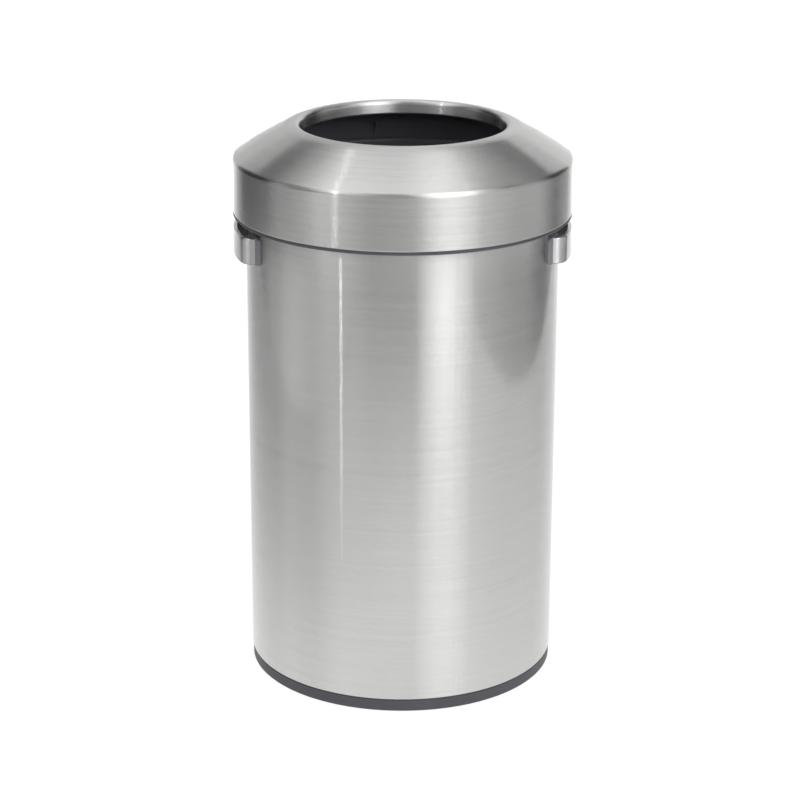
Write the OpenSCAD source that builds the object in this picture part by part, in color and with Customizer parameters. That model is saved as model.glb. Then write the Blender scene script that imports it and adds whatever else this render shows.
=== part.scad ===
// Dome top waste receptacle: a steel tube on a plastic foot ring, two side grips,
// a lift-off dome lid with a round throat, and a lift-out liner with a bag ring.
// Millimetres, +Z up, origin on the floor at the centre of the tube.

/* [Body] */
// Outside diameter of the steel tube
body_d = 420; // [390:5:450]
// Height of the steel tube
shell_h = 665; // [560:5:740]
// Thickness of the steel sheet of tube, pan and dome
sheet_t = 0.8; // [0.6:0.1:1]
// Width of the flange turned inwards at the foot of the tube
foot_flange_w = 13; // [12:0.5:16]
// Thickness of the plastic rim trim above the edge of the tube
rim_web_t = 4; // [3:0.5:6]
// Wall of the two legs of the rim trim
rim_leg_t = 2.4; // [1.6:0.2:3]
// How far the rim trim reaches down the tube
rim_leg_h = 14; // [8:1:20]

/* [Base] */
// Height of the top of the base ring above the floor
base_h = 17; // [15:1:26]
// Height of the shadow gap between base ring and tube
groove_h = 1.6; // [1:0.2:2.4]
// Depth of the shadow gap
groove_depth = 1.8; // [1.2:0.2:2.6]
// How far the base ring stands back from the face of the tube
base_inset = 0.8; // [0.4:0.2:1.4]
// Width of the base ring across its underside
base_ring_w = 22; // [20:1:30]
// Chamfer of the base ring
base_chamfer = 1.4; // [0.6:0.2:2]
// Height of the turned-up edge of the base pan
pan_rim_h = 12; // [8:1:20]
// Rise of the pressed middle of the base pan
pan_rise = 4; // [2:0.5:6]
// Diameter of the pressed middle of the base pan
pan_middle_d = 330; // [260:5:350]
// Diameter of one floor pad
pad_d = 14; // [10:1:16]
// Thickness of one floor pad
pad_t = 3.2; // [2.4:0.2:4]
// How far a floor pad stands below the base ring
pad_proud = 1; // [0.6:0.2:1.4]
// Number of floor pads and of base screws
pad_count = 6; // [4:1:8]

/* [Lid] */
// How far the lid skirt stands out from the tube
lid_overhang = 17.4; // [16:0.2:20]
// How far the steel skirt hangs below the lid seat
lid_drop = 43; // [36:1:56]
// Height of the skirt from its lower edge to the shoulder
skirt_h = 69.4; // [64:0.2:84]
// Radius of the shoulder
shoulder_r = 8.3; // [5:0.1:12]
// Radius of the long crown curve of the dome
crown_r = 466; // [420:2:560]
// Radius of the curve that levels the dome out at the throat
crest_r = 44; // [36:1:56]
// Slope of the dome where that curve starts
crest_slope = 25.8; // [24:0.2:28]
// Diameter of the highest line of the dome
crest_d = 282.2; // [260:0.2:290]
// Radius of the fold from the crest into the throat
lip_fold_r = 3; // [1.4:0.1:3]
// Depth of the throat lip below the crest
lip_h = 17; // [12:1:22]
// Radius of the rolled lower edge of the skirt
hem_r = 1.8; // [1.4:0.1:2.4]
// Width of the flange turned inwards at the foot of the skirt
hem_flange_w = 11; // [10:0.5:12]
// Height of the dark trim ring under the skirt
lid_trim_h = 4; // [3:0.5:5]
// Wall of the plastic lid frame
frame_t = 2.8; // [2.2:0.2:3.4]
// Number of ribs of the lid frame and of lid screws
rib_count = 8; // [6:2:12]
// Wall of the lid lining
lining_t = 2.2; // [1.6:0.2:2.8]
// Inner fillet between wall and cone of the lid lining
lining_fillet_r = 15; // [10:1:20]
// Angle of the seam of the lid lining, from +X
seam_angle = 99.6; // [90:0.2:120]

/* [Handles] */
// How far a grip stands out from the tube
grip_depth = 17; // [15:0.2:20]
// Half of the width of a grip where it meets its carrier
grip_half_w = 84; // [78:1:90]
// Slope of the ends of a grip, seen from above
grip_end_slope = 3; // [0:1:12]
// Corner radius of a grip, seen from above
grip_corner_r = 18; // [12:0.5:20]
// Height of a grip
grip_h = 34.5; // [30:0.5:42]
// Distance from the lid seat down to the top of a grip
grip_drop = 62.6; // [58:0.2:80]
// Sheet thickness of a grip
grip_t = 1.2; // [1:0.1:1.5]
// Width of the top edge of a grip
grip_edge_w = 5; // [4.6:0.2:5.6]
// How far the carrier shows below the grip
carrier_proud = 1; // [1:0.5:3]
// Half of the width of the carrier's feet
carrier_half_w = 93; // [93:0.5:104]
// Thickness of the carrier's feet
carrier_foot_t = 3; // [2.4:0.2:3.6]
// Corner radius of the carrier's feet
carrier_corner_r = 5; // [3:0.5:8]
// Half of the width of the finger space
finger_half_w = 58; // [50:1:60]
// Distance of a grip screw from the middle of its grip
grip_screw_y = 68; // [65:0.5:71]
// Thickness of the plate behind a grip, inside the tube
grip_plate_t = 2; // [1.4:0.2:2.4]

/* [Liner and bag ring] */
// Wall of the liner
liner_t = 2.5; // [2:0.1:3.2]
// Diameter of the liner at its floor
liner_foot_d = 356; // [330:2:364]
// Gap all round between the top of the liner and the rim trim
liner_gap = 3.4; // [2.4:0.2:4.4]
// Height of the liner's floor above the base pan
liner_lift = 4; // [3:0.5:12]
// Radius of the rounding at the foot of the liner
liner_foot_r = 14; // [8:1:20]
// Length of a hand slot in the liner
hand_slot_w = 88; // [74:2:100]
// Height of a hand slot
hand_slot_h = 28; // [24:1:34]
// Distance from the liner flange down to a hand slot
hand_slot_drop = 24; // [22:1:34]
// Height of the bag ring's bead above the liner flange
bag_ring_h = 5.4; // [4:0.2:7]
// Depth of the bag ring's skirt inside the liner
bag_ring_skirt_h = 18; // [12:1:26]
// Wall of the bag ring's skirt
bag_ring_t = 1.8; // [1.4:0.2:2.4]

/* [Fasteners and fits] */
// Shank diameter of the small screws in lid and base
small_screw_d = 3.5; // [3:0.5:4]
// Shank diameter of the grip screws
grip_screw_d = 5; // [4:0.5:6]
// Gap between fixed pieces that are pushed together
fit_gap = 0.15; // [0.1:0.05:0.2]
// Gap under a piece that lifts off
seat_gap = 0.3; // [0.3:0.1:0.6]
// Radial gap round a piece that lifts off
slide_gap = 1.2; // [0.9:0.1:1.6]

/* [Hidden] */
$fn = 144;
body_r = body_d/2;
tube_in_r = body_r - sheet_t;

// heights of body and base
base_z0 = pad_proud;
shell_z0 = base_h + groove_h;
shell_z1 = shell_z0 + shell_h;
seat_z = shell_z1 + rim_web_t;
pan_z0 = shell_z0 + sheet_t;
pan_top_z = pan_z0 + sheet_t + pan_rise;

// radii of the body
rim_in_r = tube_in_r - fit_gap - rim_leg_t;
rim_out_r = body_r + fit_gap + rim_leg_t;
base_out_r = body_r - base_inset;
base_in_r = base_out_r - base_ring_w;
foot_flange_r = body_r - foot_flange_w;

// base fasteners and pads
small_head_d = 2*small_screw_d;
small_head_h = 0.65*small_screw_d;
small_counterbore_d = small_head_d + 1;
hole_gap = 0.4;       // radial gap round a screw that passes through
thread_gap = 0.05;    // radial gap round a screw that holds
clamp_gap = 0.1;      // gap between pieces that screws hold together
base_screw_wall = 1.8;
base_screw_depth = 7;
edge_break = 0.6;
base_screw_r = base_out_r - small_counterbore_d/2 - base_screw_wall;
base_screw_seat_z = base_h - base_screw_depth;
pad_r = (base_in_r + base_out_r)/2;

// lid
lid_r = body_r + lid_overhang;
lid_in_r = lid_r - sheet_t;
hem_z = seat_z - lid_drop;
lid_trim_z = hem_z - lid_trim_h;
shoulder_z = hem_z + skirt_h;
lid_mouth_r = rim_out_r + slide_gap;
lid_seat_in_r = rim_out_r - rim_leg_t;
lid_screw_r = lid_r - hem_flange_w/2 - hem_r + edge_break;
lid_boss_wall = 2;
lid_boss_d = small_screw_d + 2*lid_boss_wall;
lid_boss_h = 14;
lid_screw_end_gap = 3;
lid_trim_inset = 0.3;
frame_z0 = hem_z + sheet_t;
frame_seat_z = seat_z + seat_gap;
frame_z1 = frame_seat_z + frame_t;
frame_out_r = lid_in_r - fit_gap;
frame_hem_cut = hem_r - sheet_t;    // clears the rolled edge of the skirt

// the dome is four arcs that run into each other: shoulder, crown, crest and lip fold
throat_r = crest_d/2 - lip_fold_r;
crown_run = crown_r - shoulder_r;
shoulder_slope = asin((lid_r - shoulder_r - crest_d/2 + (crown_r - crest_r)*sin(crest_slope))/crown_run);
shoulder_c = [lid_r - shoulder_r, shoulder_z];
crown_c = shoulder_c - crown_run*[sin(shoulder_slope), cos(shoulder_slope)];
crest_c = crown_c + (crown_r - crest_r)*[sin(crest_slope), cos(crest_slope)];
top_z = crest_c[1] + crest_r;
lip_z = top_z - lip_h;

// lid lining, hung under the dome
lining_gap = 0.4;                               // between dome and lining
lining_skin = sheet_t + lining_gap;             // from the dome's face to the lining's upper face
lining_under = lining_skin + lining_t;          // from the dome's face to the lining's lower face
lining_wall_r = rim_out_r;                      // inner face of the lining's wall
lining_fillet_x = lining_wall_r - lining_fillet_r;
lining_fillet_reach = crown_r - lining_under - lining_fillet_r;
lining_fillet_z = crown_c[1] + sqrt(pow(lining_fillet_reach, 2) - pow(lining_fillet_x - crown_c[0], 2));
lining_fillet_a = acos((lining_fillet_x - crown_c[0])/lining_fillet_reach);
collar_in_r = throat_r + sheet_t + clamp_gap;
collar_out_r = collar_in_r + lining_t;
collar_foot_t = 1.8;
collar_top_drop = 3;                            // from the crest line down to the collar
seam_w = 1.2;
seam_depth = 0.7;

// handles
carrier_seat_r = body_r + fit_gap;
carrier_foot_r = carrier_seat_r + carrier_foot_t;
grip_seat_r = carrier_foot_r + clamp_gap;
grip_r = body_r + grip_depth;
grip_z1 = seat_z - grip_drop;
grip_z0 = grip_z1 - grip_h;
carrier_z0 = grip_z0 - carrier_proud;
carrier_z1 = grip_z1 - grip_t;
grip_screw_a = asin(grip_screw_y/body_r);
grip_screw_up = 13;         // from the foot of the carrier to its screws
grip_boss_drop = 12;        // from the top of a grip down to the carrier's end bosses
grip_screw_z = carrier_z0 + grip_screw_up;
grip_boss_z1 = grip_z1 - grip_boss_drop;
grip_plate_r = tube_in_r - clamp_gap;
grip_screw_seat_r = grip_plate_r - grip_plate_t - clamp_gap;
grip_screw_l = 14;
grip_screw_end_gap = 0.6;
grip_plate_h = 20;
grip_plate_end = 10;        // from a grip screw to the end of the plate
grip_screw_head_d = 1.8*grip_screw_d;
grip_screw_head_h = 0.55*grip_screw_d;

// centre of the rounded corner of a grip's plan, from its end line and its outer circle
end_n = [sin(grip_end_slope), -cos(grip_end_slope)];
end_t = [cos(grip_end_slope), sin(grip_end_slope)];
end_start = [sqrt(pow(grip_seat_r, 2) - pow(grip_half_w, 2)), -grip_half_w];
end_k = end_n*end_start - grip_corner_r;
corner_c = end_k*end_n + sqrt(pow(grip_r - grip_corner_r, 2) - pow(end_k, 2))*end_t;
corner_a = atan2(corner_c[1], corner_c[0]);

// liner and bag ring
liner_top_r = rim_in_r - liner_gap;
liner_foot_r0 = liner_foot_d/2;
liner_z0 = pan_top_z + liner_lift;
liner_flange_z = seat_z + seat_gap;
liner_flange_r = lid_seat_in_r - slide_gap/2;
liner_z1 = liner_flange_z + liner_t;
hand_slot_z = liner_flange_z - hand_slot_drop - hand_slot_h/2;
bag_ring_z0 = liner_z1 + seat_gap;
bag_ring_top = liner_z1 + bag_ring_h;
bag_ring_inset = 1.4;       // from the edge of the liner's flange to the bag ring
bag_ring_out_r = liner_flange_r - bag_ring_inset;
bag_skirt_r = liner_top_r - liner_t - slide_gap;
bag_bead_r = bag_ring_h - seat_gap - edge_break;

STEEL = "#b9bab8";
GRIP_STEEL = "#c3c4c6";
BLACK = "#26282d";
GREY = "#55565e";
ZINC = "#9a9c9e";

// points along an arc, angles from the first axis
function arc(c, r, a0, a1, n) = [for (i = [0:n]) let (a = a0 + (a1 - a0)*i/n) c + r*[cos(a), sin(a)]];
function back(list) = [for (i = [len(list) - 1:-1:0]) list[i]];
function mirrored(list) = [for (p = back(list)) [p[0], -p[1]]];

// the dome's section from shoulder to lip fold, set in from the outer face
function dome_path(inset) = concat(
    arc(shoulder_c, shoulder_r - inset, 0, 90 - shoulder_slope, 10),
    arc(crown_c, crown_r - inset, 90 - shoulder_slope, 90 - crest_slope, 10),
    arc(crest_c, crest_r - inset, 90 - crest_slope, 90, 12));

// a grip's plan, set in from the outer face, open towards the tube
function grip_plan(inset) = let (
    end = concat(
        [corner_c + (grip_corner_r - inset)*end_n - 40*end_t],
        arc(corner_c, grip_corner_r - inset, grip_end_slope - 90, corner_a, 8)),
    face = arc([0, 0], grip_r - inset, corner_a, -corner_a, 20),
    middle = [for (i = [1:len(face) - 2]) face[i]])
    concat(end, middle, mirrored(end));

function rounded(w, h, r) = concat(
    arc([w/2 - r, -h/2 + r], r, -90, 0, 6), arc([w/2 - r, h/2 - r], r, 0, 90, 6),
    arc([-w/2 + r, h/2 - r], r, 90, 180, 6), arc([-w/2 + r, -h/2 + r], r, 180, 270, 6));

module ring(r_in, r_out, z0, z1) {
    rotate_extrude() translate([r_in, z0]) square([r_out - r_in, z1 - z0]);
}

module round_about(count, r, first = 0) {
    for (i = [0:count - 1]) rotate([0, 0, first + i*360/count]) translate([r, 0, 0]) children();
}

// a pan-head screw standing on its head, bearing face at z = 0
module screw_up(d, head_d, head_h, length) {
    translate([0, 0, -head_h]) cylinder(d = head_d, h = head_h);
    cylinder(d = d, h = length);
}

module at_grip_screws(side) {
    for (s = [-1, 1])
        rotate([0, 0, side > 0 ? s*grip_screw_a : 180 + s*grip_screw_a])
            translate([0, 0, grip_screw_z]) rotate([0, 90, 0]) children();
}

module to_side(side) {
    rotate([0, 0, side > 0 ? 0 : 180]) children();
}

// ---- body ----

module body_shell() {
    color(STEEL) difference() {
        rotate_extrude() polygon([
            [foot_flange_r, shell_z0], [body_r, shell_z0], [body_r, shell_z1], [tube_in_r, shell_z1],
            [tube_in_r, shell_z0 + sheet_t], [foot_flange_r, shell_z0 + sheet_t]]);
        round_about(pad_count, base_screw_r) translate([0, 0, shell_z0 - 1])
            cylinder(d = small_screw_d + 2*hole_gap, h = sheet_t + 2);
        for (side = [-1, 1]) at_grip_screws(side)
            translate([0, 0, tube_in_r - 4]) cylinder(d = grip_screw_d + 2*hole_gap, h = sheet_t + 8);
    }
}

// U-shaped trim over the edge of the tube: the seat of lid and liner
module rim_trim() {
    color(BLACK) rotate_extrude() polygon([
        [rim_in_r, shell_z1 - rim_leg_h], [tube_in_r - fit_gap, shell_z1 - rim_leg_h],
        [tube_in_r - fit_gap, shell_z1], [body_r + fit_gap, shell_z1],
        [body_r + fit_gap, shell_z1 - rim_leg_h], [rim_out_r, shell_z1 - rim_leg_h],
        [rim_out_r, seat_z], [rim_in_r, seat_z]]);
}

module base_ring() {
    groove_r = body_r - groove_depth;
    color(GREY) difference() {
        rotate_extrude() polygon([
            [base_in_r, base_z0], [base_out_r - base_chamfer, base_z0],
            [base_out_r, base_z0 + base_chamfer], [base_out_r, base_h - edge_break],
            [base_out_r - edge_break, base_h], [groove_r, base_h], [groove_r, shell_z0],
            [base_in_r, shell_z0]]);
        round_about(pad_count, base_screw_r) {
            translate([0, 0, base_z0 - 1])
                cylinder(d = small_counterbore_d, h = base_screw_seat_z - base_z0 + 1);
            cylinder(d = small_screw_d + 2*hole_gap, h = shell_z0 + 1);
        }
        round_about(pad_count, pad_r, 180/pad_count) translate([0, 0, base_z0 - 1])
            cylinder(d = pad_d + 2*fit_gap, h = pad_t - pad_proud + 1);
    }
}

// pressed pan that closes the tube, with a raised middle
module base_pan() {
    pan_r = tube_in_r - fit_gap;
    middle_r = pan_middle_d/2;
    slope_w = 6;
    color(ZINC) difference() {
        rotate_extrude() polygon([
            [0, pan_z0 + pan_rise], [middle_r - slope_w, pan_z0 + pan_rise], [middle_r, pan_z0],
            [pan_r, pan_z0], [pan_r, pan_z0 + pan_rim_h], [pan_r - sheet_t, pan_z0 + pan_rim_h],
            [pan_r - sheet_t, pan_z0 + sheet_t], [middle_r, pan_z0 + sheet_t],
            [middle_r - slope_w, pan_top_z], [0, pan_top_z]]);
        round_about(pad_count, base_screw_r) translate([0, 0, pan_z0 - 1])
            cylinder(d = small_screw_d + 2*thread_gap, h = sheet_t + 2);
    }
}

module base_screws() {
    color(ZINC) round_about(pad_count, base_screw_r) translate([0, 0, base_screw_seat_z])
        screw_up(small_screw_d, small_head_d, small_head_h, pan_z0 + sheet_t + 3 - base_screw_seat_z);
}

module floor_pads() {
    color(BLACK) round_about(pad_count, pad_r, 180/pad_count) cylinder(d = pad_d, h = pad_t);
}

// ---- handles ----

// steel strap, with its top edge turned in over the carrier
module grip(side) {
    color(GRIP_STEEL) to_side(side) difference() {
        translate([0, 0, grip_z0]) linear_extrude(grip_h) polygon(grip_plan(0));
        translate([0, 0, grip_z0 - 1]) linear_extrude(grip_h + 1 - grip_t) polygon(grip_plan(grip_t));
        translate([0, 0, grip_z0]) linear_extrude(grip_h + 1) polygon(grip_plan(grip_edge_w));
        translate([0, 0, grip_z0 - 1]) cylinder(r = grip_seat_r, h = grip_h + 2);
    }
}

module carrier(side) {
    height = carrier_z1 - carrier_z0;
    foot_z1 = grip_z1 + carrier_proud;
    color(GREY) to_side(side) difference() {
        union() {
            difference() {
                translate([0, 0, carrier_z0]) linear_extrude(height) polygon(grip_plan(grip_t + clamp_gap));
                // open above the end bosses, and right through for the fingers
                translate([0, 0, grip_boss_z1]) linear_extrude(grip_h) polygon(grip_plan(grip_edge_w));
                intersection() {
                    translate([0, 0, carrier_z0 - 1]) linear_extrude(height)
                        polygon(grip_plan(grip_edge_w));
                    translate([0, -finger_half_w, carrier_z0 - 2]) cube([grip_r, 2*finger_half_w, height]);
                }
            }
            // feet against the tube
            for (s = [-1, 1]) intersection() {
                ring(carrier_seat_r - 1, carrier_foot_r, carrier_z0, foot_z1);
                translate([0, s*(carrier_half_w + finger_half_w)/2, (carrier_z0 + foot_z1)/2])
                    rotate([90, 0, 90]) linear_extrude(grip_r)
                        polygon(rounded(carrier_half_w - finger_half_w, foot_z1 - carrier_z0,
                                        carrier_corner_r));
            }
        }
        translate([0, 0, carrier_z0 - 1]) cylinder(r = carrier_seat_r, h = height + 10);
        for (s = [-1, 1]) rotate([0, 0, s*grip_screw_a]) translate([0, 0, grip_screw_z])
            rotate([90, 0, 90]) cylinder(d = grip_screw_d + 2*thread_gap,
                                         h = grip_screw_seat_r + grip_screw_l + grip_screw_end_gap);
    }
}

// curved plate inside the tube that spreads the load of a grip
module grip_plate(side) {
    color(ZINC) to_side(side) difference() {
        intersection() {
            ring(grip_plate_r - grip_plate_t, grip_plate_r, grip_screw_z - grip_plate_h/2,
                 grip_screw_z + grip_plate_h/2);
            translate([0, -grip_screw_y - grip_plate_end, grip_screw_z - grip_plate_h])
                cube([body_r, 2*(grip_screw_y + grip_plate_end), 2*grip_plate_h]);
        }
        for (s = [-1, 1]) rotate([0, 0, s*grip_screw_a]) translate([0, 0, grip_screw_z])
            rotate([90, 0, 90]) cylinder(d = grip_screw_d + 2*hole_gap, h = body_r + 5);
    }
}

module handle_screws() {
    color(ZINC) for (side = [-1, 1]) at_grip_screws(side) translate([0, 0, grip_screw_seat_r])
        screw_up(grip_screw_d, grip_screw_head_d, grip_screw_head_h, grip_screw_l);
}

// ---- lid ----

module lid_shell() {
    hem_c = [lid_r - hem_r, hem_z + hem_r];
    fold_c = [crest_d/2, top_z - lip_fold_r];
    hem_in_r = lid_r - hem_flange_w;
    color(STEEL) difference() {
        rotate_extrude() polygon(concat(
            [[hem_in_r, hem_z]], arc(hem_c, hem_r, -90, 0, 4), dome_path(0),
            arc(fold_c, lip_fold_r, 100, 180, 6), [[throat_r, lip_z], [throat_r + sheet_t, lip_z]],
            arc(fold_c, lip_fold_r - sheet_t, 180, 100, 6), back(dome_path(sheet_t)),
            arc(hem_c, hem_r - sheet_t, 0, -90, 4), [[hem_in_r, hem_z + sheet_t]]));
        round_about(rib_count, lid_screw_r) translate([0, 0, hem_z - 1])
            cylinder(d = small_screw_d + 2*hole_gap, h = sheet_t + 2);
    }
}

// trim ring under the skirt, screwed up through the skirt's flange
module lid_trim_ring() {
    out_r = lid_r - lid_trim_inset;
    counterbore_h = small_head_h + 1;
    color(GREY) difference() {
        rotate_extrude() polygon([
            [lid_mouth_r, lid_trim_z], [out_r - 1, lid_trim_z], [out_r, lid_trim_z + 1],
            [out_r, hem_z], [lid_mouth_r, hem_z]]);
        round_about(rib_count, lid_screw_r) {
            translate([0, 0, lid_trim_z - 1]) cylinder(d = small_counterbore_d, h = counterbore_h);
            translate([0, 0, lid_trim_z]) cylinder(d = small_screw_d + 2*hole_gap, h = lid_trim_h + 1);
        }
    }
}

// ribbed frame between skirt and tube; its shelf carries the lid on the rim trim
module lid_frame() {
    wall_out_r = lid_mouth_r + frame_t;
    color(BLACK) difference() {
        union() {
            rotate_extrude() polygon([
                [lid_mouth_r, frame_z0], [frame_out_r - frame_hem_cut, frame_z0],
                [frame_out_r, frame_z0 + frame_hem_cut], [frame_out_r, frame_z0 + frame_t],
                [wall_out_r, frame_z0 + frame_t], [wall_out_r, frame_seat_z],
                [frame_out_r, frame_seat_z], [frame_out_r, frame_z1], [lid_seat_in_r, frame_z1],
                [lid_seat_in_r, frame_seat_z], [lid_mouth_r, frame_seat_z]]);
            round_about(rib_count, wall_out_r - 1, 180/rib_count)
                translate([0, -frame_t/2, frame_z0 + 1])
                    cube([frame_out_r - wall_out_r, frame_t, frame_seat_z - frame_z0]);
            round_about(rib_count, lid_screw_r) translate([0, 0, frame_z0 + 1])
                cylinder(d = lid_boss_d, h = lid_boss_h);
        }
        round_about(rib_count, lid_screw_r) translate([0, 0, frame_z0 - 1])
            cylinder(d = small_screw_d + 2*thread_gap, h = lid_boss_h);
    }
}

// black lining under the dome, from the frame up to the throat
module lid_lining() {
    flange_r = frame_out_r - 0.2;
    flange_z = frame_z1 + frame_t;
    fillet_c = [lining_fillet_x, lining_fillet_z];
    crest_out_a = acos((collar_out_r - crest_c[0])/(crest_r - lining_skin));
    crest_under_a = acos((collar_out_r - crest_c[0])/(crest_r - lining_under));
    color(BLACK) difference() {
        rotate_extrude() polygon(concat(
            [[lining_wall_r, frame_z1], [flange_r, frame_z1], [flange_r, flange_z],
             [lining_wall_r + lining_t, flange_z]],
            arc(fillet_c, lining_fillet_r + lining_t, 0, lining_fillet_a, 8),
            arc(crown_c, crown_r - lining_skin, lining_fillet_a, 90 - crest_slope, 8),
            arc(crest_c, crest_r - lining_skin, 90 - crest_slope, crest_out_a, 10),
            [[collar_in_r, top_z - collar_top_drop], [collar_in_r, lip_z], [throat_r, lip_z],
             [throat_r, lip_z - collar_foot_t], [collar_out_r, lip_z - collar_foot_t]],
            arc(crest_c, crest_r - lining_under, crest_under_a, 90 - crest_slope, 10),
            arc(crown_c, crown_r - lining_under, 90 - crest_slope, lining_fillet_a, 8),
            arc(fillet_c, lining_fillet_r, lining_fillet_a, 0, 8)));
        rotate([0, 0, seam_angle]) translate([lining_wall_r - 1, -seam_w/2, frame_z1 - 1])
            cube([1 + seam_depth, seam_w, lining_fillet_z - frame_z1 + 1]);
    }
}

module lid_screws() {
    color(ZINC) round_about(rib_count, lid_screw_r) translate([0, 0, lid_trim_z + small_head_h])
        screw_up(small_screw_d, small_head_d, small_head_h, lid_trim_h + lid_boss_h - lid_screw_end_gap);
}

// ---- liner and bag ring ----

module liner() {
    wall_a = atan((liner_top_r - liner_foot_r0)/(liner_flange_z - liner_z0));
    foot_c = [liner_foot_r0 - liner_foot_r, liner_z0 + liner_foot_r];
    color(BLACK) difference() {
        rotate_extrude() polygon(concat(
            [[0, liner_z0]], arc(foot_c, liner_foot_r, -90, -wall_a, 8),
            [[liner_top_r, liner_flange_z], [liner_flange_r, liner_flange_z],
             [liner_flange_r, liner_z1], [liner_top_r - liner_t, liner_z1]],
            arc(foot_c, liner_foot_r - liner_t, -wall_a, -90, 8), [[0, liner_z0 + liner_t]]));
        for (a = [90, 270]) rotate([0, 0, a]) translate([liner_foot_r0 - 20, 0, hand_slot_z])
            rotate([90, 0, 90]) linear_extrude(80)
                polygon(rounded(hand_slot_w, hand_slot_h, hand_slot_h/2 - 1));
    }
}

// ring that pins the edge of a bag on the liner
module bag_ring() {
    bead_in_r = bag_skirt_r - bag_ring_t;
    color(BLACK) rotate_extrude() polygon(concat(
        [[bead_in_r, bag_ring_z0 - bag_ring_skirt_h], [bag_skirt_r, bag_ring_z0 - bag_ring_skirt_h],
         [bag_skirt_r, bag_ring_z0], [bag_ring_out_r, bag_ring_z0]],
        arc([bag_ring_out_r - bag_bead_r, bag_ring_top - bag_bead_r], bag_bead_r, 0, 90, 6),
        arc([bead_in_r + bag_bead_r, bag_ring_top - bag_bead_r], bag_bead_r, 90, 180, 6)));
}

body_shell();
rim_trim();
base_ring();
base_pan();
base_screws();
floor_pads();
grip(-1);  // handle_left_grip
carrier(-1);  // handle_left_carrier
grip_plate(-1);  // handle_left_plate
grip(1);  // handle_right_grip
carrier(1);  // handle_right_carrier
grip_plate(1);  // handle_right_plate
handle_screws();
lid_shell();
lid_trim_ring();
lid_frame();
lid_lining();
lid_screws();
liner();
bag_ring();
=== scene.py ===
import math

import bmesh
import bpy
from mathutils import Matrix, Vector


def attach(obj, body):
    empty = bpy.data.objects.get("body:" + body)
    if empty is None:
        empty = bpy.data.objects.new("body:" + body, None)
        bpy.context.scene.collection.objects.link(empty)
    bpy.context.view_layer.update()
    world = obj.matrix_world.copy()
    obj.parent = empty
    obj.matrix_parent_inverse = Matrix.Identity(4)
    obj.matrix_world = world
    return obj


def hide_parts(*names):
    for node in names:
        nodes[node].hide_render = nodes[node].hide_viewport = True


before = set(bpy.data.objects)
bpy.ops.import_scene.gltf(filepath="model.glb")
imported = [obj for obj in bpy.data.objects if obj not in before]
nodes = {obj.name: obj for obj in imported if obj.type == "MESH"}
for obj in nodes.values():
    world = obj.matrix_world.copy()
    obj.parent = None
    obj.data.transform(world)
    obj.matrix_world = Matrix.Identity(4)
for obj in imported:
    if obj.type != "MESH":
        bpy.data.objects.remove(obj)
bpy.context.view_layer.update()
print("frame loaded:", len(nodes), "nodes")

up = Vector((0, 0, 1))
turnSteps = 192        # faces round the axis
mergeDistance = 2e-6
sharpAngle = 35        # degrees; an edge that turns by more is drawn sharp
heldLength = 0.0006    # kept flat at both ends of a face, so that it shades flat beside an arc


# A section is drawn in the XZ plane with lines and arcs, then turned about Z.
def lineTo(bm, start, r, z):
    end = bm.verts.new((r, 0, z))
    bm.edges.new((start, end))
    return end


def flatTo(bm, start, r, z):
    end = Vector((r, 0, z))
    way = (end - start.co).normalized()*heldLength
    for spot in (start.co + way, end - way, end):
        start = lineTo(bm, start, spot.x, spot.z)
    return start


def arcTo(bm, start, centre, degrees, steps, axis=(0, -1, 0)):
    made = bmesh.ops.spin(bm, geom=[start], cent=centre, axis=axis,
                          angle=math.radians(degrees), steps=steps, use_duplicate=False)
    return [v for v in made["geom_last"] if isinstance(v, bmesh.types.BMVert)][0]


def roundCorners(bm, corners, radius, segments):
    bmesh.ops.bevel(bm, geom=corners, offset=radius, segments=segments, profile=0.5,
                    affect="VERTICES", material=-1)


def turnSection(bm):
    bmesh.ops.spin(bm, geom=bm.verts[:] + bm.edges[:], cent=(0, 0, 0), axis=(0, 0, 1),
                   angle=math.radians(360), steps=turnSteps, use_merge=True,
                   use_duplicate=False)


def addObject(name, data):
    made = bpy.data.objects.new(name, data)
    bpy.context.scene.collection.objects.link(made)
    return made


def meshFrom(bm, name):
    mesh = bpy.data.meshes.new(name)
    bm.to_mesh(mesh)
    bm.free()
    return mesh


def finishPiece(bm, name, body, stands, material):
    bmesh.ops.remove_doubles(bm, verts=bm.verts, dist=mergeDistance)
    bmesh.ops.recalc_face_normals(bm, faces=bm.faces)
    for face in bm.faces:
        face.smooth = True
    for edge in bm.edges:
        closed = len(edge.link_faces) == 2
        edge.smooth = closed and edge.calc_face_angle(0) < math.radians(sharpAngle)
    mesh = meshFrom(bm, name)
    mesh.materials.append(material)
    piece = addObject(name, mesh)
    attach(piece, body)
    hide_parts(*stands)
    return piece


# Materials: short ways to add and join their nodes
def newMaterial(name):
    material = bpy.data.materials.new(name)
    material.use_nodes = True
    tree = material.node_tree
    return material, tree, tree.nodes["Principled BSDF"]


def addNode(tree, kind, **settings):
    made = tree.nodes.new(kind)
    for key, value in settings.items():
        setattr(made, key, value)
    return made


# a socket is fed by another socket or by a plain value
def feed(tree, socket, value):
    if isinstance(value, bpy.types.NodeSocket):
        tree.links.new(value, socket)
    elif value is not None:
        socket.default_value = value


def maths(tree, operation, a, b=None):
    made = addNode(tree, "ShaderNodeMath", operation=operation)
    for socket, value in zip(made.inputs, (a, b)):
        feed(tree, socket, value)
    return made.outputs[0]


def vectors(tree, operation, a, b=None):
    made = addNode(tree, "ShaderNodeVectorMath", operation=operation)
    for socket, value in zip(made.inputs, (a, b)):
        feed(tree, socket, value)
    return made.outputs[0]


def lengthOf(tree, vector):
    made = addNode(tree, "ShaderNodeVectorMath", operation="LENGTH")
    tree.links.new(vector, made.inputs[0])
    return made.outputs["Value"]


def splitXyz(tree, coords):
    made = addNode(tree, "ShaderNodeSeparateXYZ")
    tree.links.new(coords, made.inputs[0])
    return made.outputs


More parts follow.
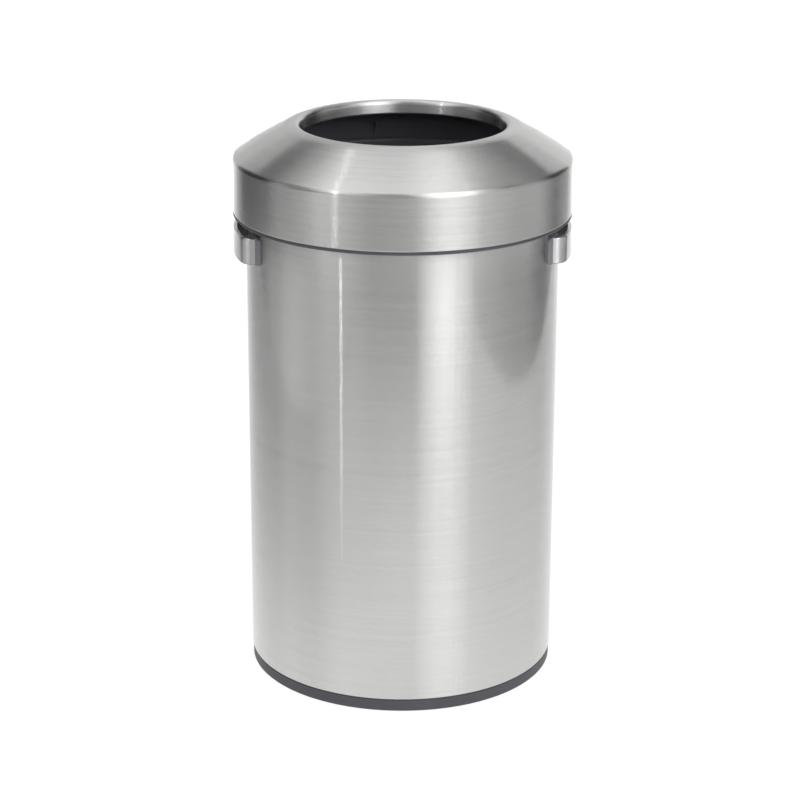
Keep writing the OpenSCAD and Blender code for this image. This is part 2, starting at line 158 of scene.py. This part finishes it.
def noise(tree, vector, scale, detail, roughness=0.5):
    made = addNode(tree, "ShaderNodeTexNoise")
    made.inputs["Scale"].default_value = scale
    made.inputs["Detail"].default_value = detail
    made.inputs["Roughness"].default_value = roughness
    tree.links.new(vector, made.inputs["Vector"])
    return made.outputs["Fac"]


def remap(tree, value, low, high, toLow, toHigh):
    made = addNode(tree, "ShaderNodeMapRange")
    for key, number in (("From Min", low), ("From Max", high),
                        ("To Min", toLow), ("To Max", toHigh)):
        made.inputs[key].default_value = number
    tree.links.new(value, made.inputs["Value"])
    return made.outputs[0]


noiseRange = (0.3, 0.7)    # nearly all of a noise lies between these
driftNoise = dict(scale=3, detail=2)
brushCloud = dict(scale=1.4, detail=5, fineness=0.65, roundWay=0.3, roughSwing=0.1)
plasticGrain = dict(detail=3, fineness=0.6, cloudDetail=3, roughSwing=0.05, bumpDepth=0.0003)
quarterTurn = 0.25         # sets the shader's stretch across the lines


# a dark and a pale shade of the colour, mixed by a noise
def paint(tree, shader, cloud, look):
    made = addNode(tree, "ShaderNodeMix", data_type="RGBA")
    made.inputs["A"].default_value = (*look["dark"], 1)
    made.inputs["B"].default_value = (*look["pale"], 1)
    tree.links.new(remap(tree, cloud, *noiseRange, 0, 1), made.inputs["Factor"])
    tree.links.new(made.outputs["Result"], shader.inputs["Base Color"])


# height along the surface, so that brushed lines run level round the walls and the dome
def lineLevel(tree, wobble):
    coords = addNode(tree, "ShaderNodeTexCoord").outputs["Object"]
    x, y, z = splitXyz(tree, coords)
    flat = addNode(tree, "ShaderNodeCombineXYZ")
    tree.links.new(x, flat.inputs[0])
    tree.links.new(y, flat.inputs[1])
    facing = vectors(tree, "NORMALIZE", flat.outputs[0])
    drift = maths(tree, "MULTIPLY", noise(tree, facing, **driftNoise), wobble)
    level = maths(tree, "SUBTRACT", z, lengthOf(tree, flat.outputs[0]))
    return maths(tree, "ADD", level, drift), facing


# each line is tilted up or down by its own amount, which draws reflections out across the lines
def brushedSteel(name, look):
    material, tree, shader = newMaterial(name)
    level, facing = lineLevel(tree, look["wobble"])
    count = maths(tree, "FLOOR", maths(tree, "MULTIPLY", level, look["lines"]))
    dice = addNode(tree, "ShaderNodeTexWhiteNoise", noise_dimensions="1D")
    tree.links.new(count, dice.inputs["W"])
    swing = remap(tree, dice.outputs["Value"], 0, 1, -1, 1)
    lean = remap(tree, maths(tree, "ABSOLUTE", swing), look["level"], 1, 0, 1)
    tilt = maths(tree, "MULTIPLY", maths(tree, "MULTIPLY", lean, lean),
                 maths(tree, "MULTIPLY", maths(tree, "SIGN", swing), look["tilt"]))
    normal = addNode(tree, "ShaderNodeNewGeometry").outputs["Normal"]
    lineWay = vectors(tree, "NORMALIZE", vectors(tree, "CROSS_PRODUCT", up, normal))
    across = vectors(tree, "CROSS_PRODUCT", normal, lineWay)
    scaled = addNode(tree, "ShaderNodeVectorMath", operation="SCALE")
    tree.links.new(across, scaled.inputs[0])
    tree.links.new(tilt, scaled.inputs["Scale"])
    tilted = vectors(tree, "NORMALIZE", vectors(tree, "ADD", normal, scaled.outputs[0]))
    tree.links.new(tilted, shader.inputs["Normal"])
    tree.links.new(lineWay, shader.inputs["Tangent"])
    # faint bands of shade along the lines, drawn out round the piece
    d = brushCloud
    bands = addNode(tree, "ShaderNodeCombineXYZ")
    tree.links.new(maths(tree, "MULTIPLY", level, look["bands"]), bands.inputs[2])
    roundWay = vectors(tree, "MULTIPLY", facing, Vector((d["roundWay"],)*3))
    cloud = noise(tree, vectors(tree, "ADD", bands.outputs[0], roundWay), d["scale"], d["detail"],
                  d["fineness"])
    paint(tree, shader, cloud, look)
    rough = remap(tree, cloud, *noiseRange, (1 - d["roughSwing"])*look["rough"],
                  (1 + d["roughSwing"])*look["rough"])
    tree.links.new(rough, shader.inputs["Roughness"])
    shader.inputs["Metallic"].default_value = 1
    shader.inputs["Anisotropic"].default_value = look["anisotropy"]
    shader.inputs["Anisotropic Rotation"].default_value = quarterTurn
    return material


def mouldedPlastic(name, look):
    d = plasticGrain
    material, tree, shader = newMaterial(name)
    coords = addNode(tree, "ShaderNodeTexCoord").outputs["Object"]
    grain = noise(tree, coords, look["grain"], d["detail"], d["fineness"])
    paint(tree, shader, noise(tree, coords, look["cloud"], d["cloudDetail"]), look)
    rough = remap(tree, grain, *noiseRange, look["rough"] - d["roughSwing"],
                  look["rough"] + d["roughSwing"])
    tree.links.new(rough, shader.inputs["Roughness"])
    bump = addNode(tree, "ShaderNodeBump")
    bump.inputs["Strength"].default_value = look["bump"]
    bump.inputs["Distance"].default_value = d["bumpDepth"]
    tree.links.new(grain, bump.inputs["Height"])
    tree.links.new(bump.outputs[0], shader.inputs["Normal"])
    return material


# lines and bands are counted for each metre, and level is the share of lines left untilted
steelLook = dict(lines=600000, wobble=0.002, tilt=0.6, level=0.2, bands=180, rough=0.05,
                 anisotropy=1.0, dark=(0.628, 0.628, 0.620), pale=(0.654, 0.654, 0.646))
lidLook = dict(steelLook, rough=0.16, anisotropy=0.6, dark=(0.620, 0.620, 0.612),
               pale=(0.662, 0.662, 0.654))
gripLook = dict(lines=600000, wobble=0.001, tilt=0.45, level=0.2, bands=60, rough=0.08,
                anisotropy=1.0, dark=(0.66, 0.66, 0.67), pale=(0.68, 0.68, 0.69))
blackLook = dict(grain=900, cloud=14, rough=0.42, dark=(0.014, 0.015, 0.019),
                 pale=(0.018, 0.019, 0.024), bump=0.08)
# the black lining and bag ring painted mid grey: painted light and sheen inside the throat, far
# paler than their own black plastic
liningPaintedLightLook = dict(grain=900, cloud=14, rough=0.42, dark=(0.142, 0.142, 0.170),
                  pale=(0.168, 0.168, 0.201), bump=0.08)
# the carriers are the base ring's grey plastic painted about three times paler: painted light on
# the strips beside the grips
carrierPaintedLightLook = dict(grain=1400, cloud=18, rough=0.5, dark=(0.255, 0.255, 0.272),
                   pale=(0.28, 0.28, 0.298), bump=0.1)
greyLook = dict(grain=1400, cloud=18, rough=0.5, dark=(0.085, 0.085, 0.10),
                pale=(0.10, 0.10, 0.118), bump=0.1)
zincLook = dict(lines=900, wobble=0.02, tilt=0.25, level=0, bands=90, rough=0.36,
                anisotropy=0.2, dark=(0.50, 0.51, 0.52), pale=(0.60, 0.61, 0.62))
rubberLook = dict(grain=700, cloud=30, rough=0.8, dark=(0.016, 0.016, 0.016),
                  pale=(0.026, 0.026, 0.026), bump=0.15)

brushed = brushedSteel("brushedSteel", steelLook)
lidSteel = brushedSteel("lidSteel", lidLook)
satin = brushedSteel("satinGripSteel", gripLook)
black = mouldedPlastic("blackPlastic", blackLook)
# the lining material carries painted light: black plastic painted grey
lining = mouldedPlastic("liningPaintedLight", liningPaintedLightLook)
grey = mouldedPlastic("greyPlastic", greyLook)
# the carriers' material carries painted light: grey plastic painted paler
carrier = mouldedPlastic("carrierPaintedLight", carrierPaintedLightLook)
zinc = brushedSteel("zincPlate", zincLook)
rubber = mouldedPlastic("padRubber", rubberLook)

# the CAD nodes that show as they are
nodeFinish = {
    "rim_trim": black, "lid_trim_ring": grey, "lid_frame": black, "lid_lining": lining,
    "liner": black, "bag_ring": lining, "handle_left_carrier": carrier,
    "handle_right_carrier": carrier, "base_ring": grey, "base_pan": zinc, "base_screws": zinc,
    "handle_left_plate": zinc, "handle_right_plate": zinc, "handle_screws": zinc,
    "lid_screws": zinc, "floor_pads": rubber,
}
for nodeName, finish in nodeFinish.items():
    slots = nodes[nodeName].data.materials
    slots.clear()
    slots.append(finish)
print("materials made")

# The steel tube, with its foot flange turned inwards
tube = dict(radius=0.210, foot=0.0186, top=0.6836, sheet=0.0008, flange=0.013, bend=0.0008,
            bendSteps=4)


def buildTube():
    d = tube
    bm = bmesh.new()
    inner = d["radius"] - d["sheet"]
    first = bm.verts.new((d["radius"] - d["flange"], 0, d["foot"]))
    corner = lineTo(bm, first, d["radius"], d["foot"])
    v = lineTo(bm, corner, d["radius"], d["foot"] + 2*d["bend"])
    v = lineTo(bm, v, d["radius"], d["top"])
    v = lineTo(bm, v, inner, d["top"])
    v = lineTo(bm, v, inner, d["foot"] + d["sheet"])
    v = lineTo(bm, v, d["radius"] - d["flange"], d["foot"] + d["sheet"])
    bm.edges.new((v, first))
    roundCorners(bm, [corner], d["bend"], d["bendSteps"])
    turnSection(bm)
    return finishPiece(bm, "steelTube", "body", ["body_shell"], brushed)


# The dome lid in one sheet: flange, rolled hem, skirt, shoulder, crown, crest and throat lip.
# crestSlope and flare are in degrees, and steps counts the faces along each arc.
dome = dict(radius=0.2274, hem=0.6446, sheet=0.0008, flange=0.011, hemRadius=0.0018,
            shoulderZ=0.714, shoulderRadius=0.0083, crownRadius=0.466, crestRadius=0.040,
            crestSlope=25.8, crestLine=0.14284, foldRadius=0.006, lip=0.0166, flare=6,
            steps=dict(hem=5, shoulder=12, crown=16, crest=12, fold=8))


def buildDome():
    d = dome
    steps = d["steps"]
    t = d["sheet"]
    slope = math.radians(d["crestSlope"])
    flare = math.radians(d["flare"])
    # centres of the arcs; crown, crest and shoulder run into each other without a break
    run = d["crownRadius"] - d["shoulderRadius"]
    reach = d["crownRadius"] - d["crestRadius"]
    shoulder = Vector((d["radius"] - d["shoulderRadius"], 0, d["shoulderZ"]))
    tilt = math.asin((shoulder.x - d["crestLine"] + reach*math.sin(slope))/run)
    crown = shoulder - run*Vector((math.sin(tilt), 0, math.cos(tilt)))
    crest = crown + reach*Vector((math.sin(slope), 0, math.cos(slope)))
    top = crest.z + d["crestRadius"]
    fold = Vector((d["crestLine"], 0, top - d["foldRadius"]))
    hem = Vector((d["radius"] - d["hemRadius"], 0, d["hem"] + d["hemRadius"]))
    shoulderTurn = 90 - math.degrees(tilt)
    crownTurn = math.degrees(tilt - slope)
    foldTurn = 90 - d["flare"]
    drop = d["lip"] - d["foldRadius"]*(1 - math.sin(flare))
    lip = d["crestLine"] - d["foldRadius"]*math.cos(flare) - drop*math.tan(flare)
    # outer face, from the flange up and over into the throat
    bm = bmesh.new()
    first = bm.verts.new((d["radius"] - d["flange"], 0, d["hem"]))
    v = lineTo(bm, first, hem.x, d["hem"])
    v = arcTo(bm, v, hem, 90, steps["hem"])
    v = flatTo(bm, v, d["radius"], d["shoulderZ"])
    v = arcTo(bm, v, shoulder, shoulderTurn, steps["shoulder"])
    v = arcTo(bm, v, crown, crownTurn, steps["crown"])
    v = arcTo(bm, v, crest, d["crestSlope"], steps["crest"])
    v = arcTo(bm, v, fold, foldTurn, steps["fold"])
    v = flatTo(bm, v, lip, top - d["lip"])
    v = lineTo(bm, v, lip + t, top - d["lip"])
    # and back along the inner face
    v = flatTo(bm, v, fold.x - (d["foldRadius"] - t)*math.cos(flare),
               fold.z + (d["foldRadius"] - t)*math.sin(flare))
    v = arcTo(bm, v, fold, -foldTurn, steps["fold"])
    v = arcTo(bm, v, crest, -d["crestSlope"], steps["crest"])
    v = arcTo(bm, v, crown, -crownTurn, steps["crown"])
    v = arcTo(bm, v, shoulder, -shoulderTurn, steps["shoulder"])
    v = flatTo(bm, v, d["radius"] - t, hem.z)
    v = arcTo(bm, v, hem, -90, steps["hem"])
    v = lineTo(bm, v, d["radius"] - d["flange"], d["hem"] + t)
    bm.edges.new((v, first))
    turnSection(bm)
    return finishPiece(bm, "domeLid", "lid", ["lid_shell"], lidSteel)


# A grip: a steel strap bent to the plan of its carrier, its top edge rolled inwards
grip = dict(radius=0.227, halfWidth=0.084, seat=0.21325, endSlope=3, corner=0.018, low=0.5905,
            high=0.625, sheet=0.0012, edge=0.005, roll=0.0016, rollTurns=(22.5, 45, 67.5, 90),
            cornerSteps=10, sweepSteps=36)


# the strap's plan at one height, drawn inset from its outer face
def gripPath(bm, inset, z):
    d = grip
    slope = math.radians(d["endSlope"])
    outward = Vector((math.sin(slope), -math.cos(slope), 0))
    along = Vector((math.cos(slope), math.sin(slope), 0))
    start = Vector((math.sqrt(d["seat"]**2 - d["halfWidth"]**2), -d["halfWidth"], 0))
    endLine = outward.dot(start)
    k = endLine - d["corner"]
    corner = k*outward + math.sqrt((d["radius"] - d["corner"])**2 - k*k)*along
    turn = math.degrees(math.atan2(corner.y, corner.x)) - (d["endSlope"] - 90)
    sweep = -2*math.degrees(math.atan2(corner.y, corner.x))
    k = endLine - inset
    foot = k*outward + math.sqrt(d["seat"]**2 - k*k)*along
    bend = corner + (d["corner"] - inset)*outward
    lift = z*up
    before = set(bm.verts)
    first = bm.verts.new(foot + lift)
    v = bm.verts.new(bend + lift - heldLength*along)
    bm.edges.new((first, v))
    held = v
    v = bm.verts.new(bend + lift)
    bm.edges.new((held, v))
    v = arcTo(bm, v, corner + lift, turn, d["cornerSteps"], up)
    v = arcTo(bm, v, lift, sweep, d["sweepSteps"], up)
    farCorner = Vector((corner.x, -corner.y, 0))
    v = arcTo(bm, v, farCorner + lift, turn, d["cornerSteps"], up)
    held = bm.verts.new(Vector((held.co.x, -held.co.y, z)))
    bm.edges.new((v, held))
    last = bm.verts.new(Vector((foot.x, -foot.y, z)))
    bm.edges.new((held, last))
    made = set(bm.verts) - before
    return [e for e in bm.edges if set(e.verts) <= made], first, last


def buildGrip(name, side, node):
    d = grip
    bm = bmesh.new()
    r = d["roll"]
    section = [(0, d["low"]), (0, d["high"] - 2*r), (0, d["high"] - r)]
    for turn in map(math.radians, d["rollTurns"]):
        section.append((r - r*math.cos(turn), d["high"] - r + r*math.sin(turn)))
    section += [(d["edge"], d["high"]), (d["edge"], d["high"] - d["sheet"]),
                (d["sheet"], d["high"] - d["sheet"]), (d["sheet"], d["low"])]
    paths = [gripPath(bm, inset, z) for inset, z in section]
    for one, other in zip(paths, paths[1:] + paths[:1]):
        bmesh.ops.bridge_loops(bm, edges=one[0] + other[0])
    for end in (1, 2):
        bm.faces.new([path[end] for path in paths])
    if side < 0:    # the left grip is the right one turned half round
        bmesh.ops.rotate(bm, verts=bm.verts, cent=(0, 0, 0),
                         matrix=Vector((-1, 0, 0)).to_track_quat("X", "Z").to_matrix())
    return finishPiece(bm, name, "body", [node], satin)


buildTube()
buildDome()
buildGrip("gripRight", 1, "handle_right_grip")
buildGrip("gripLeft", -1, "handle_left_grip")
print("steel pieces made")

# Stage: the camera of the photograph, white paper on a studio floor, the room and its lamps.
# Angles are in degrees, and bearings are positive towards +X.
cameraSpot = dict(azimuth=-1.6, distance=3.180, height=1.4585, target=0.3717, lens=109.75,
                  sensor=36, roll=0.224, shiftX=-0.00236, shiftY=0.0005, clipEnd=60)


def placeCamera():
    d = cameraSpot
    data = bpy.data.cameras.new("photoCamera")
    data.lens = d["lens"]
    data.sensor_width = d["sensor"]
    data.shift_x = d["shiftX"]
    data.shift_y = d["shiftY"]
    data.clip_end = d["clipEnd"]
    eye = addObject("photoCamera", data)
    bearing = math.radians(d["azimuth"])
    eye.location = (math.sin(bearing)*d["distance"], -math.cos(bearing)*d["distance"], d["height"])
    aim = Vector((0, 0, d["target"])) - eye.location
    eye.rotation_euler = aim.to_track_quat("-Z", "Y").to_euler()
    eye.rotation_euler.rotate_axis("Z", math.radians(d["roll"]))
    bpy.context.scene.camera = eye


placeCamera()


# light levels by bearing from the camera, from -180 to 180
def bearingRamp(tree, turn, stops):
    ramp = addNode(tree, "ShaderNodeValToRGB")
    tree.links.new(turn, ramp.inputs[0])
    band = ramp.color_ramp
    while len(band.elements) < len(stops):
        band.elements.new(0.5)    # its place is set below
    for element, (bearing, level) in zip(band.elements, stops):
        element.position = (bearing + 180)/360
        element.color = (level, level, level, 1)
    return ramp.outputs[0]


# the bearing of a spot or a direction, as 0 to 1
def turnOf(tree, x, y):
    bearing = maths(tree, "ARCTAN2", x, maths(tree, "MULTIPLY", y, -1.0))
    turn = maths(tree, "MULTIPLY", bearing, 0.5/math.pi)
    return maths(tree, "FRACT", maths(tree, "ADD", turn, 0.5 - cameraSpot["azimuth"]/360))


def soft(tree, value, start, end):
    made = addNode(tree, "ShaderNodeMapRange", interpolation_type="SMOOTHSTEP")
    made.inputs["From Min"].default_value = start
    made.inputs["From Max"].default_value = end
    tree.links.new(value, made.inputs["Value"])
    return made.outputs[0]


def softEdge(tree, value, softness, middle=0):
    return soft(tree, value, middle - softness, middle + softness)


def opposite(tree, value):
    return maths(tree, "SUBTRACT", 1.0, value)


def blendLevels(tree, factor, a, b):
    made = addNode(tree, "ShaderNodeMix", data_type="FLOAT")
    for socket, value in zip((made.inputs[0], made.inputs[2], made.inputs[3]), (factor, a, b)):
        feed(tree, socket, value)
    return made.outputs[0]


# left is the place and the slant of the paper's left edge, which runs on straight past slantEnd
floorLook = dict(
    size=12, paint=0.75, seenPaint=0.15, seenGlow=0.93,
    left=(-1.43, -0.32), slantEnd=1.2, right=1.50, edgeSoft=0.03, front=-1.50, frontSoft=0.75,
    near=0.91, nearFrom=0.25, nearTo=0.7,
    paperLeft=0.52, paperMiddle=0.94, paperRight=0.81, sideReach=1.2,
    pool=0.15, poolSpot=(0, -0.51), poolReach=0.40, farFrom=2.2, farTo=2.6,
    beyond=[(-180, 0.60), (-140, 0.46), (-122, 0.22), (-105, 0.66), (-80, 0.83),
            (-50, 0.55), (-25, 0.26), (10, 0.28), (30, 1.72), (55, 0.28),
            (90, 0.12), (125, 0.02), (150, 0.53), (180, 0.60)],
    far=[(-180, 2.34), (-130, 0.02), (-115, 0.02), (-100, 0.02), (-80, 0.24),
         (-55, 0.96), (-20, 0.30), (20, 0.66), (55, 0.70), (80, 0.51),
         (100, 0.61), (120, 0.19), (140, 0.40), (180, 2.34)])


# white paper under the receptacle; metal sees the paper end, with the studio floor beyond
def buildFloor():
    d = floorLook
    bm = bmesh.new()
    bmesh.ops.create_grid(bm, x_segments=1, y_segments=1, size=d["size"])
    mesh = meshFrom(bm, "studioFloor")
    floor = addObject("studioFloor", mesh)
    material, tree, shader = newMaterial("floorPaper")
    coords = addNode(tree, "ShaderNodeTexCoord").outputs["Object"]
    x, y = splitXyz(tree, coords)[:2]
    reach = lengthOf(tree, coords)
    # the share of paper at each spot
    slantY = maths(tree, "MAXIMUM", maths(tree, "MINIMUM", y, d["slantEnd"]), -d["slantEnd"])
    leftEdge = maths(tree, "ADD", maths(tree, "MULTIPLY", slantY, d["left"][1]), d["left"][0])
    fromLeft = softEdge(tree, maths(tree, "SUBTRACT", x, leftEdge), d["edgeSoft"])
    fromRight = softEdge(tree, x, d["edgeSoft"], d["right"])
    fromFront = softEdge(tree, y, d["frontSoft"], d["front"])
    onPaper = maths(tree, "MULTIPLY", fromLeft, opposite(tree, fromRight))
    onPaper = maths(tree, "MULTIPLY", onPaper, fromFront)
    # levels, from the paper out to the far floor and in to the foot of the receptacle
    leftHalf = remap(tree, x, -d["sideReach"], 0, d["paperLeft"], d["paperMiddle"])
    rightShare = remap(tree, x, 0, d["sideReach"], 0, 1)
    sides = blendLevels(tree, rightShare, leftHalf, d["paperRight"])
    turn = turnOf(tree, x, y)
    away = blendLevels(tree, onPaper, bearingRamp(tree, turn, d["beyond"]), sides)
    away = blendLevels(tree, soft(tree, reach, d["farFrom"], d["farTo"]), away,
                       bearingRamp(tree, turn, d["far"]))
    level = blendLevels(tree, soft(tree, reach, d["nearFrom"], d["nearTo"]), d["near"], away)
    # a pool of light in front of it
    offset = vectors(tree, "SUBTRACT", coords, Vector((*d["poolSpot"], 0)))
    spread = addNode(tree, "ShaderNodeVectorMath", operation="DOT_PRODUCT")
    tree.links.new(offset, spread.inputs[0])
    tree.links.new(offset, spread.inputs[1])
    fade = maths(tree, "EXPONENT",
                 maths(tree, "MULTIPLY", spread.outputs["Value"], -1/d["poolReach"]**2))
    level = maths(tree, "ADD", level, maths(tree, "MULTIPLY", fade, d["pool"]))
    # the camera sees plain white with a shadow, and metal sees the levels
    path = addNode(tree, "ShaderNodeLightPath").outputs
    seen = maths(tree, "MULTIPLY", path["Is Camera Ray"], d["seenGlow"])
    mirrored = maths(tree, "MULTIPLY", path["Is Glossy Ray"], level)
    tree.links.new(maths(tree, "ADD", seen, mirrored), shader.inputs["Emission Strength"])
    shader.inputs["Emission Color"].default_value = (1, 1, 1, 1)
    paper = blendLevels(tree, path["Is Camera Ray"], d["paint"], d["seenPaint"])
    paper = maths(tree, "MULTIPLY", paper, opposite(tree, path["Is Glossy Ray"]))
    tree.links.new(paper, shader.inputs["Base Color"])
    shader.inputs["Roughness"].default_value = 1
    shader.inputs["Specular IOR Level"].default_value = 0
    mesh.materials.append(material)


buildFloor()

# paper, paperSide and paperTop each give the left and then the right side; turns are the
# heights of walls, cornice, ceiling and zenith
roomLook = dict(
    walls=[(-180, 0.84), (-143, 0.05), (-128, 0.02), (-104, 0.02), (-92, 0.46),
           (-68, 0.09), (-45, 0.63), (-14, 0.44), (6, 0.35), (50, 0.87),
           (64, 0.67), (100, 0.48), (118, 0.02), (142, 0.02), (180, 0.84)],
    cornice=[(-180, 0.91), (-150, 0.12), (-115, 0.28), (-85, 0.02), (-55, 1.42), (-20, 0.39),
             (10, 0.02), (55, 1.10), (90, 0.02), (120, 0.43), (155, 0.02), (180, 0.91)],
    ceiling=[(-180, 0.72), (-130, 0.99), (-80, 1.45), (-30, 0.33), (20, 0.02),
             (60, 2.02), (110, 0.21), (150, 0.99), (180, 0.72)],
    zenith=1.41, turns=(20, 42, 60, 90),
    paper=(0.61, 0.78), paperSide=(143.0, 144.2), paperTop=(33.0, 31.8), edgeSoft=1.5)


# the studio round the object: walls, cornice and ceiling, and the raised back of the paper
def buildRoom():
    d = roomLook
    world = bpy.data.worlds.new("studioRoom")
    bpy.context.scene.world = world
    world.use_nodes = True
    tree = world.node_tree
    glow = tree.nodes["Background"]
    x, y, z = splitXyz(tree, addNode(tree, "ShaderNodeTexCoord").outputs["Generated"])
    turn = turnOf(tree, x, y)
    height = maths(tree, "MULTIPLY", maths(tree, "ARCSINE", z), 180/math.pi)
    low, middle, high, straightUp = d["turns"]
    level = blendLevels(tree, remap(tree, height, low, middle, 0, 1),
                        bearingRamp(tree, turn, d["walls"]), bearingRamp(tree, turn, d["cornice"]))
    level = blendLevels(tree, remap(tree, height, middle, high, 0, 1), level,
                        bearingRamp(tree, turn, d["ceiling"]))
    level = blendLevels(tree, remap(tree, height, high, straightUp, 0, 1), level, d["zenith"])
    onRight = maths(tree, "GREATER_THAN", turn, 0.5)
    aside = maths(tree, "MULTIPLY",
                  maths(tree, "ABSOLUTE", maths(tree, "SUBTRACT", turn, 0.5)), 360.0)
    inward = maths(tree, "SUBTRACT", aside, blendLevels(tree, onRight, *d["paperSide"]))
    above = maths(tree, "SUBTRACT", height, blendLevels(tree, onRight, *d["paperTop"]))
    paper = maths(tree, "MULTIPLY", softEdge(tree, inward, d["edgeSoft"]),
                  opposite(tree, softEdge(tree, above, d["edgeSoft"])))
    level = blendLevels(tree, paper, level, blendLevels(tree, onRight, *d["paper"]))
    path = addNode(tree, "ShaderNodeLightPath").outputs
    tree.links.new(blendLevels(tree, path["Is Camera Ray"], level, 1.0), glow.inputs["Color"])


buildRoom()

# lamp levels are radiances, so power follows from the size; the softbox is brighter towards its
# middle, as a stack of ever narrower lamps
lampAim = Vector((0, 0, 0.45))
layerStep = 0.004    # between the lamps of a stack
lamps = {
    "keySoftbox": dict(azimuth=30, elevation=33, distance=2.4, widths=(1.74, 1.44, 1.1, 0.64),
                       height=3.1, roll=0, level=0.38),
    "leftLamp": dict(azimuth=-48.8, elevation=36, distance=5, widths=(0.17,),
                     height=1.0, roll=15, level=11),
    "backLamp": dict(azimuth=-146.3, elevation=62.7, distance=3.7, widths=(0.12,),
                     height=0.9, roll=-43, level=0.9),
}


def placeLamp(name, d, width, distance):
    data = bpy.data.lights.new(name, "AREA")
    data.shape = "RECTANGLE"
    data.size = width
    data.size_y = d["height"]
    data.energy = d["level"]*math.pi*width*d["height"]
    lamp = addObject(name, data)
    bearing = math.radians(d["azimuth"] + cameraSpot["azimuth"])
    lift = math.radians(d["elevation"])
    flat = math.cos(lift)
    way = Vector((math.sin(bearing)*flat, -math.cos(bearing)*flat, math.sin(lift)))
    lamp.location = distance*way + lampAim
    lamp.rotation_euler = way.to_track_quat("Z", "Y").to_euler()
    lamp.rotation_euler.rotate_axis("Z", math.radians(d["roll"]))
    lamp.visible_camera = False


for lampName, lampSpot in lamps.items():
    for layer, lampWidth in enumerate(lampSpot["widths"]):
        placeLamp(f"{lampName}{layer}", lampSpot, lampWidth,
                  lampSpot["distance"] + layerStep*layer)
bpy.context.scene.view_settings.view_transform = "Standard"
print("stage set")
